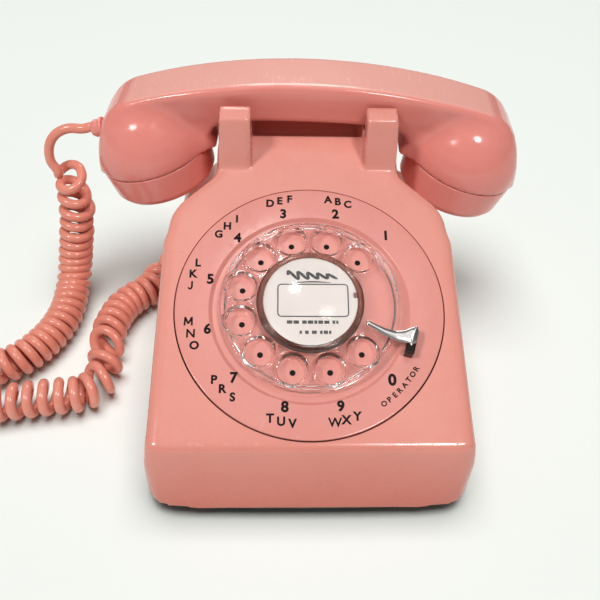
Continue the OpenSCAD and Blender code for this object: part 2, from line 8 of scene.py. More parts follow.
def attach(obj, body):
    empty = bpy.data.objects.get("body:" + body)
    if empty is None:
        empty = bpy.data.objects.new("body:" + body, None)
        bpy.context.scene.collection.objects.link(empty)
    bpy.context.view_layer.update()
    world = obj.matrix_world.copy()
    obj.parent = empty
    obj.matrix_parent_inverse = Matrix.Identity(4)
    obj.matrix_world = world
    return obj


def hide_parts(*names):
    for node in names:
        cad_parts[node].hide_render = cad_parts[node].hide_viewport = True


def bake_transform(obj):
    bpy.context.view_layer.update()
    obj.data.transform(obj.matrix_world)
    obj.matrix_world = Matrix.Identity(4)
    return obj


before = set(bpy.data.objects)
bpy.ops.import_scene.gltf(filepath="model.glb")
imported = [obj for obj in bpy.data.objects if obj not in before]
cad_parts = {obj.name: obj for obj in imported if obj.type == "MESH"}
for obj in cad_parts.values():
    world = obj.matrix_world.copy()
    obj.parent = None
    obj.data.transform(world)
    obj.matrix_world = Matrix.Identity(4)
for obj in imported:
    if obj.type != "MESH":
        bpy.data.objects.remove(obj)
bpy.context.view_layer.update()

# Y runs from the phone's front to its back, and Z is up from the table.
MM = 0.001
scene = bpy.context.scene


# ---- camera
def make_camera():
    """The photograph's view, found by fitting the ten finger holes in perspective."""
    yaw, pitch, roll = math.radians(2.65), math.radians(44.41), math.radians(2.10)
    ahead = Vector((math.sin(yaw) * math.cos(pitch), math.cos(yaw) * math.cos(pitch), -math.sin(pitch)))
    level = Vector((math.cos(yaw), -math.sin(yaw), 0))
    up = level.cross(ahead)
    rolled_right = level * math.cos(roll) + up * math.sin(roll)
    rolled_up = -level * math.sin(roll) + up * math.cos(roll)
    data = bpy.data.cameras.new("camera")
    data.sensor_width = 36
    data.lens = 43.55
    data.clip_start = 0.01
    cam = bpy.data.objects.new("camera", data)
    scene.collection.objects.link(cam)
    place = Matrix((rolled_right, rolled_up, -ahead)).transposed().to_4x4()
    place.translation = Vector((-0.01488, -0.26777, 0.29507))
    cam.matrix_world = place
    scene.camera = cam


make_camera()

# ---- frames on the object
SLOPE = math.radians(23)  # of the face that carries the dial
DIAL_Y, DIAL_Z = -41.7, 69  # middle of the dial on that face
CRADLE_Y = 54  # the line that the handset lies along
CUP_X, CUP_Z, CUP_TILT = 79, 85.5, math.radians(15)  # middle and inward lean of each handset cup


def posed(x, y, z, angle=0.0, axis="Z"):
    """A place: moved to a point after a turn about one axis."""
    return Matrix.Translation((x, y, z)) @ Matrix.Rotation(angle, 4, axis)


DIAL = posed(0, DIAL_Y, DIAL_Z, SLOPE, "X")
HAND = posed(1.2, CRADLE_Y, 0, math.radians(-2.8))


def cup_frame(side):
    """The rim of one cup: side is 1 for the receiver and -1 for the transmitter."""
    return HAND @ posed(side * CUP_X, 0, CUP_Z, side * CUP_TILT, "Y")


# ---- mesh helpers
def link(obj, body, material, replaces=()):
    """Put a finished piece in the scene, on its body, in the place of the CAD nodes it replaces."""
    scene.collection.objects.link(obj)
    obj.data.materials.clear()
    obj.data.materials.append(material)
    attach(obj, body)
    if replaces:
        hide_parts(*replaces)
    return obj


def placed(verts, place):
    """Points moved by a matrix, if there is one."""
    v = np.asarray(verts, float)
    if place is None:
        return v
    m = np.array(place)
    return v @ m[:3, :3].T + m[:3, 3]


def shade_smooth(me):
    me.polygons.foreach_set("use_smooth", [True] * len(me.polygons))


def mesh_object(name, verts, faces, place=None, smooth=True):
    """A mesh from points in mm, placed by a matrix in mm."""
    me = bpy.data.meshes.new(name)
    me.from_pydata((placed(verts, place) * MM).tolist(), [], [list(map(int, f)) for f in faces])
    me.update()
    if smooth:
        shade_smooth(me)
    return bpy.data.objects.new(name, me)


def grid_object(name, verts, quads, place=None, field=None):
    """Same for many four-sided faces, from arrays; shading follows the field's slope when a field is given."""
    v = np.asarray(verts, float)
    slope = None
    if field is not None:
        reach = 0.12
        slope = np.stack([field(*(v + e).T) - field(*(v - e).T) for e in np.eye(3) * reach], 1)
        slope /= np.maximum(np.linalg.norm(slope, axis=1), 1e-9)[:, None]
        if place is not None:
            slope = slope @ np.array(place)[:3, :3].T
    quads = np.asarray(quads, np.int32)
    me = bpy.data.meshes.new(name)
    me.vertices.add(len(v))
    me.vertices.foreach_set("co", (placed(v, place) * MM).astype(np.float32).ravel())
    me.loops.add(quads.size)
    me.loops.foreach_set("vertex_index", quads.ravel())
    me.polygons.add(len(quads))
    me.polygons.foreach_set("loop_start", np.arange(0, quads.size, 4, dtype=np.int32))
    me.polygons.foreach_set("loop_total", np.full(len(quads), 4, np.int32))
    me.update(calc_edges=True)
    shade_smooth(me)
    me.validate()
    if slope is not None and len(me.vertices) == len(slope):
        me.normals_split_custom_set_from_vertices(slope.tolist())
    return bpy.data.objects.new(name, me)


def lathe(profile, n, closed):
    """Turn a list of (r, z) about Z; closed profiles come back to their start."""
    verts, faces, rows = [], [], []
    for r, z in profile:
        if r < 1e-6:
            rows.append([len(verts)] * n)
            verts.append((0, 0, z))
        else:
            rows.append(list(range(len(verts), len(verts) + n)))
            verts += [(r * math.cos(2 * math.pi * k / n), r * math.sin(2 * math.pi * k / n), z) for k in range(n)]
    pairs = list(zip(rows, rows[1:] + rows[:1])) if closed else list(zip(rows, rows[1:]))
    for a, b in pairs:
        for k in range(n):
            f = [a[k], a[(k + 1) % n], b[(k + 1) % n], b[k]]
            f = [x for i, x in enumerate(f) if x != f[i - 1]]
            if len(f) > 2:
                faces.append(f)
    return verts, faces


def rounded(points, radius, steps):
    """Round the corners of a closed (r, z) profile, each by its own radius."""
    out, n = [], len(points)
    points = np.array(points, float)
    for i in range(n):
        p, r = points[i], radius[i]
        u, v = points[i - 1] - p, points[(i + 1) % n] - p
        lu, lv = np.linalg.norm(u), np.linalg.norm(v)
        if r <= 0 or lu < 1e-9 or lv < 1e-9:
            out.append(tuple(p))
            continue
        c = np.clip((u @ v) / lu / lv, -1, 1)
        half = math.acos(c) / 2
        cut = min(r / max(math.tan(half), 1e-6), lu * 0.48, lv * 0.48)
        s, e = p + u / lu * cut, p + v / lv * cut
        for k in range(steps + 1):
            t = k / steps
            out.append(tuple((1 - t) ** 2 * s + 2 * t * (1 - t) * p + t * t * e))
    return out


def fix_normals(obj):
    bm = bmesh.new()
    bm.from_mesh(obj.data)
    bmesh.ops.recalc_face_normals(bm, faces=bm.faces)
    bm.to_mesh(obj.data)
    bm.free()


def sharpen(obj, degrees):
    """Keep edges sharper than this crisp in smooth shading."""
    me = obj.data
    bm = bmesh.new()
    bm.from_mesh(me)
    lim = math.radians(degrees)
    for e in bm.edges:
        e.smooth = not (len(e.link_faces) == 2 and e.calc_face_angle(0) > lim)
    bm.to_mesh(me)
    bm.free()


def turned(name, profile, place, n=192, closed=True, degrees=35):
    v, f = lathe(profile, n, closed)
    o = mesh_object(name, v, f, place)
    fix_normals(o)
    sharpen(o, degrees)
    return o


def cut(obj, cutters, degrees):
    """Subtract closed meshes from obj, which isn't in the scene yet, and keep its sharp edges crisp."""
    scene.collection.objects.link(obj)
    for c in cutters:
        scene.collection.objects.link(c)
        mod = obj.modifiers.new("cut", "BOOLEAN")
        mod.operation = "DIFFERENCE"
        mod.solver = "MANIFOLD"
        mod.object = c
    dg = bpy.context.evaluated_depsgraph_get()
    me = bpy.data.meshes.new_from_object(obj.evaluated_get(dg))
    obj.modifiers.clear()
    obj.data = me
    for c in cutters:
        bpy.data.objects.remove(c)
    scene.collection.objects.unlink(obj)
    sharpen(obj, degrees)
    shade_smooth(obj.data)
    return obj


def rod(name, r, z0, z1, place, n):
    """Closed cylinder along Z, for cutting."""
    v, f = lathe([(0, z0), (r, z0), (r, z1), (0, z1)], n, False)
    o = mesh_object(name, v, f, place, smooth=False)
    fix_normals(o)
    return o


# ---- distance fields, in mm
def smax(a, b, k):
    """The overlap of two solids, with its corner rounded over about k."""
    h = np.maximum(k - np.abs(a - b), 0) / k
    return np.maximum(a, b) + h * h * k * 0.25


def smin(a, b, k):
    """Two solids joined, with the inner corner filled over about k."""
    return -smax(-a, -b, k)


class Outline:
    """Signed distance to a closed outline, on a fine grid with its corners softened."""

    def __init__(self, pts, soft=0.6, step=0.5, pad=14):
        pts = np.asarray(pts, float)
        self.lo, self.h = pts.min(0) - pad, step
        n = np.ceil((pts.max(0) + pad - self.lo) / step).astype(int) + 1
        x = self.lo[0] + step * np.arange(n[0])[:, None]
        y = self.lo[1] + step * np.arange(n[1])[None, :]
        best, inside = np.full(n, 1e9), np.zeros(n, bool)
        for (ax, ay), (bx, by) in zip(pts, np.roll(pts, -1, 0)):
            ex, ey = bx - ax, by - ay
            t = np.clip(((x - ax) * ex + (y - ay) * ey) / max(ex * ex + ey * ey, 1e-12), 0, 1)
            best = np.minimum(best, (x - ax - ex * t) ** 2 + (y - ay - ey * t) ** 2)
            if ay != by:
                inside ^= ((ay > y) != (by > y)) & (x < ex * (y - ay) / ey + ax)
        d = np.sqrt(best)
        d = np.where(inside, -d, d)
        if soft > 0:
            m = int(3 * soft / step) + 1
            w = np.exp(-0.5 * (np.arange(-m, m + 1) * step / soft) ** 2)
            w /= w.sum()
            for axis in (0, 1):
                p = np.pad(d, [(m, m) if i == axis else (0, 0) for i in (0, 1)], mode="edge")
                d = sum(wk * np.take(p, range(k, k + d.shape[axis]), axis) for k, wk in enumerate(w))
        self.d = d

    def __call__(self, x, y):
        u = np.clip((x - self.lo[0]) / self.h, 0, self.d.shape[0] - 1.001)
        v = np.clip((y - self.lo[1]) / self.h, 0, self.d.shape[1] - 1.001)
        i, j = u.astype(int), v.astype(int)
        u, v = u - i, v - j
        d = self.d
        return ((1 - u) * ((1 - v) * d[i, j] + v * d[i, j + 1])
                + u * ((1 - v) * d[i + 1, j] + v * d[i + 1, j + 1]))


def surface(field, lo, hi, h):
    """Naive surface net of field's zero, with its points moved onto the surface."""
    n = [int(math.ceil((b - a) / h)) + 1 for a, b in zip(lo, hi)]
    ax = [lo[i] + h * np.arange(n[i]) for i in range(3)]
    f = np.empty(n, np.float32)
    slab = 16
    for i0 in range(0, n[0], slab):
        g = np.meshgrid(ax[0][i0:i0 + slab], ax[1], ax[2], indexing="ij")
        f[i0:i0 + slab] = field(*g)
    s = f < 0
    part = np.zeros([k - 1 for k in n], np.uint8)
    for c in np.ndindex(2, 2, 2):
        part += s[c[0]:n[0] - 1 + c[0], c[1]:n[1] - 1 + c[1], c[2]:n[2] - 1 + c[2]]
    cells = np.argwhere((part > 0) & (part < 8))
    index = np.full(part.shape, -1, np.int32)
    index[tuple(cells.T)] = np.arange(len(cells))
    total, count = np.zeros((len(cells), 3)), np.zeros(len(cells))
    for axis in range(3):
        step = np.eye(3, dtype=int)[axis]
        for c in np.ndindex(2, 2):
            o = np.insert(np.array(c), axis, 0)
            a = f[tuple((cells + o).T)]
            b = f[tuple((cells + o + step).T)]
            on = (a < 0) != (b < 0)
            t = np.where(on, a / np.where(on, a - b, 1), 0)
            total += np.where(on[:, None], o + t[:, None] * step, 0)
            count += on
    p = np.array(lo) + h * (cells + total / count[:, None])
    quads = []
    for axis in range(3):
        j, k = [i for i in range(3) if i != axis]
        a = np.take(s, range(n[axis] - 1), axis)
        b = np.take(s, range(1, n[axis]), axis)
        e = np.argwhere(a != b)
        e = e[(e[:, j] > 0) & (e[:, j] < n[j] - 1) & (e[:, k] > 0) & (e[:, k] < n[k] - 1)]
        dj, dk = np.eye(3, dtype=int)[j], np.eye(3, dtype=int)[k]
        q = np.stack([index[tuple((e - dj - dk).T)], index[tuple((e - dk).T)],
                      index[tuple(e.T)], index[tuple((e - dj).T)]], 1)
        flip = a[tuple(e.T)] != (axis == 1)
        q[~flip] = q[~flip][:, ::-1]
        quads.append(q)
    quads = np.concatenate(quads)
    reach = 0.25
    for _ in range(3):
        d = field(*p.T)
        g = np.stack([field(*(p + v).T) - field(*(p - v).T) for v in np.eye(3) * reach], 1) / (2 * reach)
        m = d / np.maximum((g * g).sum(1), 0.3)
        p = p - g * np.clip(m, -0.5 * h, 0.5 * h)[:, None]
    return p, quads


def both(pts):
    """Mirror a half outline listed from the middle outward."""
    return list(pts) + [(-x, y) for x, y in pts[-2:0:-1]]


def polar(r, degrees, cx=0, cy=0):
    return cx + r * math.cos(math.radians(degrees)), cy + r * math.sin(math.radians(degrees))


def arc(cx, cy, r, a0, a1, n):
    """n steps of a circle from a0 to a1 degrees."""
    return [polar(r, a0 + (a1 - a0) * i / n, cx, cy) for i in range(n + 1)]


# ---- materials
def new_material(name):
    m = bpy.data.materials.new(name)
    m.use_nodes = True
    nt = m.node_tree
    return m, nt, nt.nodes["Principled BSDF"]


def feed(nt, sock, v):
    """Link a socket, or set a value."""
    if isinstance(v, bpy.types.NodeSocket):
        nt.links.new(v, sock)
    else:
        sock.default_value = v


def put(nt, shader, **values):
    """Feed a shader's inputs, named with _ for a space."""
    for k, v in values.items():
        feed(nt, shader.inputs[k.replace("_", " ")], v)


def node(nt, kind, **values):
    n = nt.nodes.new(kind)
    for k, v in values.items():
        if k in n.inputs:
            n.inputs[k].default_value = v
        else:
            setattr(n, k, v)
    return n


def object_coords(nt, scale=(1, 1, 1), turn=(0, 0, 0), shift=(0, 0, 0)):
    mp = node(nt, "ShaderNodeMapping", Scale=scale, Rotation=turn, Location=shift)
    put(nt, mp, Vector=node(nt, "ShaderNodeTexCoord").outputs["Object"])
    return mp.outputs["Vector"]


def noise(nt, vec, scale, detail=3.0, rough=0.5, distortion=0.0):
    n = node(nt, "ShaderNodeTexNoise", Scale=scale, Detail=detail, Roughness=rough, Distortion=distortion)
    put(nt, n, Vector=vec)
    return n.outputs["Fac"]


def ramp(nt, fac, stops):
    """Stops are (position, grey)."""
    r = node(nt, "ShaderNodeValToRGB")
    cr = r.color_ramp
    while len(cr.elements) < len(stops):
        cr.elements.new(0.5)
    for e, (p, c) in zip(cr.elements, stops):
        e.position = p
        e.color = (c, c, c, 1)
    put(nt, r, Fac=fac)
    return r.outputs["Color"]


def mix(nt, fac, a, b, blend="MIX"):
    n = nt.nodes.new("ShaderNodeMix")
    n.data_type = "RGBA"
    n.blend_type = blend
    for k, v in ((0, fac), (6, a), (7, b)):
        feed(nt, n.inputs[k], (*v, 1) if isinstance(v, (tuple, list)) else v)
    return n.outputs[2]


def maths(nt, op, a, b=0.0, clamp=False):
    n = nt.nodes.new("ShaderNodeMath")
    n.operation, n.use_clamp = op, clamp
    feed(nt, n.inputs[0], a)
    feed(nt, n.inputs[1], b)
    return n.outputs[0]


def plus(nt, a, b, clamp=False):
    return maths(nt, "ADD", a, b, clamp)


def minus(nt, a, b, clamp=False):
    return maths(nt, "SUBTRACT", a, b, clamp)


def times(nt, a, b):
    return maths(nt, "MULTIPLY", a, b)


def z_of(nt, vector):
    n = node(nt, "ShaderNodeSeparateXYZ")
    put(nt, n, Vector=vector)
    return n.outputs["Z"]


def bump(nt, height, strength, distance, normal=None, invert=False):
    n = node(nt, "ShaderNodeBump", Strength=strength, Distance=distance)
    n.invert = invert
    put(nt, n, Height=height)
    if normal:
        put(nt, n, Normal=normal)
    return n.outputs["Normal"]


def scratches(nt, turns, scale, width):
    """Fine lines running several ways: thin bands of a stretched, warped noise."""
    out = None
    for k in range(turns):
        along = object_coords(nt, (scale, scale * 0.06, scale * 0.4), (0.6 * k + 0.2, 1.1 * k + 0.4, 2.1 * k),
                              (0.31 * k, 0.17 * k, 0.05 * k))
        off = maths(nt, "ABSOLUTE", minus(nt, noise(nt, along, 1.0, 1.0, 0.5, 0.3), 0.5))
        line = minus(nt, 1.0, maths(nt, "DIVIDE", off, width), clamp=True)
        gate = ramp(nt, noise(nt, object_coords(nt), 38 + 9 * k, 2.0), [(0.52, 0.0), (0.62, 1.0)])
        line = times(nt, line, gate)
        out = line if out is None else maths(nt, "MAXIMUM", out, line)
    return out


def plastic(name, base, deep, rough=0.16, grain=0.35, scuff=0.5, sss=0.06, painted_foot_shade=None, painted_top_sheen=None):
    """Old glossy moulded plastic: uneven tone, orange-peel gloss, fine scuffs and a little grime.

    painted_foot_shade darkens it towards the table as painted shade, and painted_top_sheen is its colour where it
    faces straight up, a paler painted sheen from the light above.
    """
    m, nt, p = new_material(name)
    oc = object_coords(nt)
    patch = noise(nt, oc, 24, 4.0, 0.55)
    tone = mix(nt, ramp(nt, patch, [(0.35, 0.0), (0.70, 1.0)]), base, deep)
    fine = noise(nt, oc, 420, 2.0, 0.6)
    tone = mix(nt, times(nt, ramp(nt, fine, [(0.40, 0.0), (0.75, 1.0)]), 0.10), tone,
               [c * 0.80 for c in base])
    lines = scratches(nt, 3, 420, 0.012)
    tone = mix(nt, times(nt, lines, 0.22), tone, [c * 0.62 for c in deep])
    # painted shade: the colour is multiplied darker towards the table, where less light falls
    if painted_foot_shade:
        near = maths(nt, "DIVIDE", minus(nt, 0.052, z_of(nt, oc)), 0.042, clamp=True)
        tone = mix(nt, near, tone, painted_foot_shade, "MULTIPLY")
    # painted sheen: paler colour where the surface faces straight up, towards the light above
    if painted_top_sheen:
        facing = z_of(nt, node(nt, "ShaderNodeTexCoord").outputs["Normal"])
        tone = mix(nt, maths(nt, "DIVIDE", minus(nt, facing, 0.86), 0.11, clamp=True), tone, painted_top_sheen)
    specks = ramp(nt, noise(nt, oc, 900, 1.0, 0.5), [(0.70, 0.0), (0.76, 1.0)])
    where = ramp(nt, noise(nt, oc, 30, 3.0), [(0.50, 0.0), (0.70, 1.0)])
    tone = mix(nt, times(nt, times(nt, specks, where), 0.35), tone, (0.25, 0.10, 0.07))
    wear = noise(nt, oc, 55, 5.0, 0.65)
    r = plus(nt, times(nt, wear, 0.16), rough - 0.05)
    r = plus(nt, r, times(nt, lines, 0.25), clamp=True)
    peel = bump(nt, noise(nt, oc, 260, 2.0, 0.5), grain, 0.00004)
    put(nt, p, Base_Color=tone, Roughness=r, Normal=bump(nt, lines, scuff, 0.00003, peel, True), IOR=1.5,
        Subsurface_Weight=sss, Subsurface_Radius=(1.0, 0.28, 0.22), Subsurface_Scale=0.003)
    return m


def metal(name, colour, rough, streak, stretch=(1, 1, 14), spots=None):
    """Brushed or plated metal: streaks along one way, uneven gloss, and spots of another colour if given."""
    m, nt, p = new_material(name)
    oc = object_coords(nt)
    tone = mix(nt, ramp(nt, noise(nt, oc, 60, 4.0), [(0.3, 0.0), (0.75, 1.0)]), colour, [c * 0.78 for c in colour])
    if spots:
        tone = mix(nt, ramp(nt, noise(nt, oc, 210, 3.0), [(0.60, 0.0), (0.74, 1.0)]), tone, spots)
    lines = noise(nt, object_coords(nt, [700 * s for s in stretch]), 1.0, 2.0)
    r = plus(nt, times(nt, noise(nt, oc, 90, 4.0), 0.14), rough - 0.05)
    put(nt, p, Base_Color=tone, Metallic=1.0, Roughness=plus(nt, r, times(nt, lines, streak)),
        Normal=bump(nt, lines, 0.15 + streak, 0.00002))
    return m


def clear(name, tint, rough, edges=False):
    """Polished clear plastic that lets most light through; its edges, where marked, shade what lies under them."""
    m, nt, p = new_material(name)
    oc = object_coords(nt)
    lines = scratches(nt, 2, 500, 0.015)
    r = plus(nt, times(nt, noise(nt, oc, 120, 4.0), 0.06), rough)
    put(nt, p, Base_Color=(*tint, 1), Transmission_Weight=1.0, IOR=1.49,
        Roughness=plus(nt, r, times(nt, lines, 0.25)),
        Normal=bump(nt, noise(nt, oc, 180, 2.0), 0.25, 0.00003))
    shade = node(nt, "ShaderNodeBsdfTransparent")
    lit = [0.02 + 0.26 * c for c in tint]
    put(nt, shade, Color=(*lit, 1))
    if edges:
        at = node(nt, "ShaderNodeAttribute", attribute_name="edge")
        put(nt, shade, Color=mix(nt, at.outputs["Fac"], lit, (0.10, 0.05, 0.05)))
    either = node(nt, "ShaderNodeMixShader")
    ways = node(nt, "ShaderNodeLightPath").outputs["Is Shadow Ray"], p.outputs[0], shade.outputs[0]
    for way, sock in zip(ways, either.inputs):
        nt.links.new(way, sock)
    put(nt, nt.nodes["Material Output"], Surface=either.outputs[0])
    return m


def plain(name, colour, rough, grain_scale, grain, vary=0.75, sheen=0.0):
    """Card, ink, paint, rubber or tape: an even colour that varies a little, with a fine grain."""
    m, nt, p = new_material(name)
    oc = object_coords(nt)
    g = noise(nt, oc, grain_scale, 4.0, 0.6)
    tone = mix(nt, ramp(nt, noise(nt, oc, 45, 3.0), [(0.3, 0.0), (0.75, 1.0)]), colour, [c * vary for c in colour])
    put(nt, p, Base_Color=mix(nt, times(nt, g, 0.25), tone, [c * vary for c in colour]),
        Roughness=plus(nt, times(nt, g, 0.15), rough - 0.07),
        Normal=bump(nt, g, grain, 0.00005), Sheen_Weight=sheen)
    return m


# the housing's colour is painted darker towards the table as painted shade
PINK = plastic("pink_plastic", (0.765, 0.315, 0.258), (0.740, 0.285, 0.230), painted_foot_shade=(0.81, 0.53, 0.46))
# the handset's colour is painted paler where it faces straight up, as painted sheen
PINK_HAND = plastic("pink_handset_plastic", (0.790, 0.272, 0.232), (0.760, 0.242, 0.204), rough=0.13,
                    painted_top_sheen=(0.805, 0.390, 0.335))
PINK_PLATE = plastic("pink_dial_plastic", (0.745, 0.302, 0.258), (0.725, 0.272, 0.230), rough=0.15, scuff=0.8)
CORD = plastic("cord_jacket", (0.770, 0.290, 0.215), (0.735, 0.255, 0.186), grain=0.3, scuff=0.3, sss=0.05)
CLEAR = clear("clear_wheel_plastic", (0.985, 0.92, 0.91), 0.02, edges=True)
WINDOW = clear("clear_card_window", (1.0, 0.99, 0.98), 0.04)
AMBER = clear("smoky_ring_plastic", (0.50, 0.42, 0.36), 0.08)
MILKY = plastic("milky_button_plastic", (0.86, 0.62, 0.56), (0.80, 0.55, 0.48), rough=0.25, sss=0.25)
CARD = plain("printed_card", (0.72, 0.665, 0.64), 0.55, 900, 0.15, 0.93)
INK_BLACK = plain("black_dial_ink", (0.010, 0.006, 0.006), 0.5, 900, 0.1)
INK_GREY = plain("grey_card_ink", (0.018, 0.016, 0.018), 0.6, 900, 0.1)
for ink in (INK_BLACK, INK_GREY):
    ink.node_tree.nodes["Principled BSDF"].inputs["Specular IOR Level"].default_value = 0.12
CHROME = metal("chrome", (0.80, 0.77, 0.75), 0.13, 0.05)
# painted shade: a near-black copy of the stop's steel, for its foot, which lies in shade
SHADE_PAINTED_STEEL = metal("shade_painted_steel", (0.025, 0.020, 0.018), 0.22, 0.10)
BLACK_STEEL = plain("black_painted_steel", (0.030, 0.022, 0.020), 0.45, 300, 0.4, 0.6)
ZINC = metal("zinc_steel", (0.60, 0.60, 0.58), 0.34, 0.20, spots=(0.42, 0.40, 0.36))
SPRING = metal("blued_spring_steel", (0.22, 0.25, 0.33), 0.28, 0.12)
BRASS = metal("satin_brass", (0.76, 0.56, 0.24), 0.30, 0.16, spots=(0.48, 0.31, 0.13))
GONG = metal("gong_metal", (0.70, 0.62, 0.48), 0.24, 0.10, (14, 1, 1))
RUBBER = plain("black_rubber", (0.022, 0.021, 0.020), 0.75, 500, 0.6, 0.6, 0.1)
PHENOLIC = plain("dark_phenolic", (0.045, 0.036, 0.034), 0.42, 260, 0.35, 0.6)
TAPE = plain("varnished_coil_tape", (0.33, 0.12, 0.05), 0.5, 700, 0.8, 0.55, 0.2)

NODE_LOOKS = (
    (ZINC, "housing_screws switch_lever switch_bracket wheel_hub dial_frame dial_rear_plate dial_shaft governor"),
    (ZINC, "dial_bracket dial_screws ringer_frame gong_screws ringer_clapper receiver_unit transmitter_unit"),
    (BRASS, "switch_contacts main_gear pulse_cam governor_gear governor_cup pulse_contacts terminal_screws"),
    (PHENOLIC, "network_block volume_wheel transmitter_cup"),
    (GONG, "gong_low gong_high"),
    (BLACK_STEEL, "baseplate"),
    (RUBBER, "feet"),
    (MILKY, "cradle_buttons"),
    (SPRING, "mainspring"),
    (TAPE, "ringer_coil"),
)
for look, names in NODE_LOOKS:
    for name in names.split():
        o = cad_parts[name]
        for place in o.material_slots:
            place.material = look
        if not o.material_slots:
            o.data.materials.append(look)


# ---- cord
STRAND_R = 2.5  # of the jacket
TURN_R = 6.95  # from the coil's middle to the middle of its strand
PITCH = 5.3  # of the closed coil
COIL_Z = 9.6  # height of the coil's middle where it lies on the table
LOWEST = 2.6  # height under which no strand's middle goes
TAIL_A = [[-108.4, 59.4, 97.2], [-114.2, 59.8, 95.4], [-120.6, 60, 95.6], [-126.8, 59.5, 93.3],
          [-131.2, 58.5, 88.6], [-133, 57.3, 82.5], [-132.4, 56, 77], [-129.2, 55, 73.3]]
COIL = [[-129.2, 55, 73.3], [-124.5, 53.5, 69.5], [-122.6, 52, 63], [-123, 50, 52.5], [-124.5, 47.5, 41],
        [-126.3, 44.4, 30], [-127.8, 39.5, 19.5], [-128.8, 30.5, 11.6], [-129, 16, COIL_Z], [-131.5, 2, COIL_Z],
        [-137, -10, COIL_Z], [-143.6, -18.6, COIL_Z], [-150.5, -24, COIL_Z], [-158, -26.8, COIL_Z],
        [-165.5, -29.6, COIL_Z], [-170.6, -36, COIL_Z], [-169.8, -45, COIL_Z], [-163, -50.4, COIL_Z],
        [-155, -50.6, COIL_Z], [-147, -48.6, COIL_Z], [-139, -47.4, COIL_Z], [-129.8, -45.8, COIL_Z],
        [-120.4, -44.6, COIL_Z], [-111.9, -43.2, COIL_Z], [-105.4, -38.8, COIL_Z], [-102.2, -29.3, COIL_Z],
        [-102.6, -17.9, COIL_Z], [-103.3, -7.4, COIL_Z], [-103, 3.5, COIL_Z], [-99.6, 16.4, COIL_Z],
        [-93.2, 25.2, COIL_Z], [-86.6, 31.5, COIL_Z], [-82.4, 39, 10.2], [-81.6, 47, 11.4]]
TAIL_B = [[-81.6, 47, 11.4], [-80.6, 53.5, 13.2], [-77.6, 58.8, 14.9], [-72.6, 61.6, 15.9], [-67, 62, 16]]


def spline(points, n):
    """A smooth curve through the points, with n steps between each two."""
    p = np.array(points, float)
    out = []
    for i in range(len(p) - 1):
        a, b, c, d = p[max(i - 1, 0)], p[i], p[i + 1], p[min(i + 2, len(p) - 1)]
        for j in range(n):
            u = j / n
            out.append(0.5 * (2 * b + (c - a) * u + (2 * a - 5 * b + 4 * c - d) * u * u
                              + (3 * b - a - 3 * c + d) * u ** 3))
    return np.array(out + [p[-1]])


def resample(p, step):
    """The same line with its points evenly spaced, about a step apart."""
    s = np.concatenate([[0], np.cumsum(np.linalg.norm(np.diff(p, axis=0), axis=1))])
    m = max(int(round(s[-1] / step)), 2)
    t = np.linspace(0, s[-1], m + 1)
    return np.stack([np.interp(t, s, p[:, i]) for i in range(3)], 1)


def carried(p):
    """Side vectors along a line, carried without twisting."""
    t = np.gradient(p, axis=0)
    t /= np.linalg.norm(t, axis=1)[:, None]
    s = np.zeros_like(p)
    v = np.array([0, 0.1, 1.0])
    for i in range(len(p)):
        v = v - (v @ t[i]) * t[i]
        v /= np.linalg.norm(v)
        s[i] = v
    return t, s, np.cross(t, s)


def tube(name, p, radius):
    """A round strand along a line, closed at both ends."""
    sides = 14
    s, w = carried(p)[1:]
    a = 2 * np.pi * np.arange(sides) / sides
    ring = (np.cos(a)[None, :, None] * s[:, None] + np.sin(a)[None, :, None] * w[:, None]) * radius
    v = (p[:, None] + ring).reshape(-1, 3)
    n = len(p)
    i = np.arange(n - 1)[:, None] * sides
    k = np.arange(sides)[None, :]
    k2 = (k + 1) % sides
    q = np.stack([i + k, i + k2, i + sides + k2, i + sides + k], -1).reshape(-1, 4)
    v = np.concatenate([v, p[:1], p[-1:]])
    caps = [[len(v) - 2, (j + 1) % sides, j] for j in range(sides)]
    caps += [[len(v) - 1, (n - 1) * sides + j, (n - 1) * sides + (j + 1) % sides] for j in range(sides)]
    return mesh_object(name, v, q.tolist() + caps)


def smooth_noise(x, seed, amount):
    """A slow wander, the same every time."""
    rng = np.random.RandomState(seed)
    out = np.zeros_like(x)
    for k in range(4):
        out += np.sin(x * (0.35 + 0.9 * k) * (1 + 0.2 * rng.rand()) + rng.rand() * 6.28) / (1 + k)
    return amount * out / 2


def coil_line():
    """The strand's centre line, wound round the coil's core.

    It is loose near the handset, tight on the way out, open where it folds back, and tangled on the way in.
    """
    core = resample(spline(COIL, 12), 0.25)
    n = len(core)
    s = np.linspace(0, 1, n)
    length = np.linalg.norm(np.diff(core, axis=0), axis=1).sum()
    t, u, w = carried(core)
    loose = np.exp(-(s / 0.085) ** 2)
    fold = np.exp(-((s - 0.475) / 0.060) ** 2)
    back = np.exp(-((s - 0.600) / 0.085) ** 2)
    tangle = np.exp(-((s - 0.775) / 0.062) ** 4)
    last = np.exp(-((1 - s) / 0.05) ** 2)
    open_up = 1 + 0.75 * loose + 0.62 * fold + 0.40 * back + 1.35 * tangle + 0.30 * last
    open_up = open_up * (1 + 0.05 * np.sin(s * 31) + 0.04 * np.sin(s * 67 + 1))
    pitch = PITCH * open_up
    turns = np.concatenate([[0], np.cumsum(length / (n - 1) / ((pitch[1:] + pitch[:-1]) / 2))])
    phase = 2 * np.pi * turns + 2.2
    wobble = smooth_noise(s * 40, 7, 0.5)
    ends = np.clip(np.minimum(s / 0.012, (1 - s) / 0.012), 0, 1)
    ends = ends * ends * (3 - 2 * ends)
    r = TURN_R + 0.12 * wobble + 1.3 * loose * np.sin(0.43 * phase)
    lean = (1.0 + 2.6 * loose + 0.8 * back) * np.sin(phase + 0.7 + 0.6 * np.sin(s * 23))
    lean += 6.5 * tangle * np.cos(phase + 0.5 * np.sin(s * 60))
    side = (r * ends)[:, None] * (np.cos(phase)[:, None] * u + np.sin(phase)[:, None] * w)
    return core + side + (lean * ends)[:, None] * t


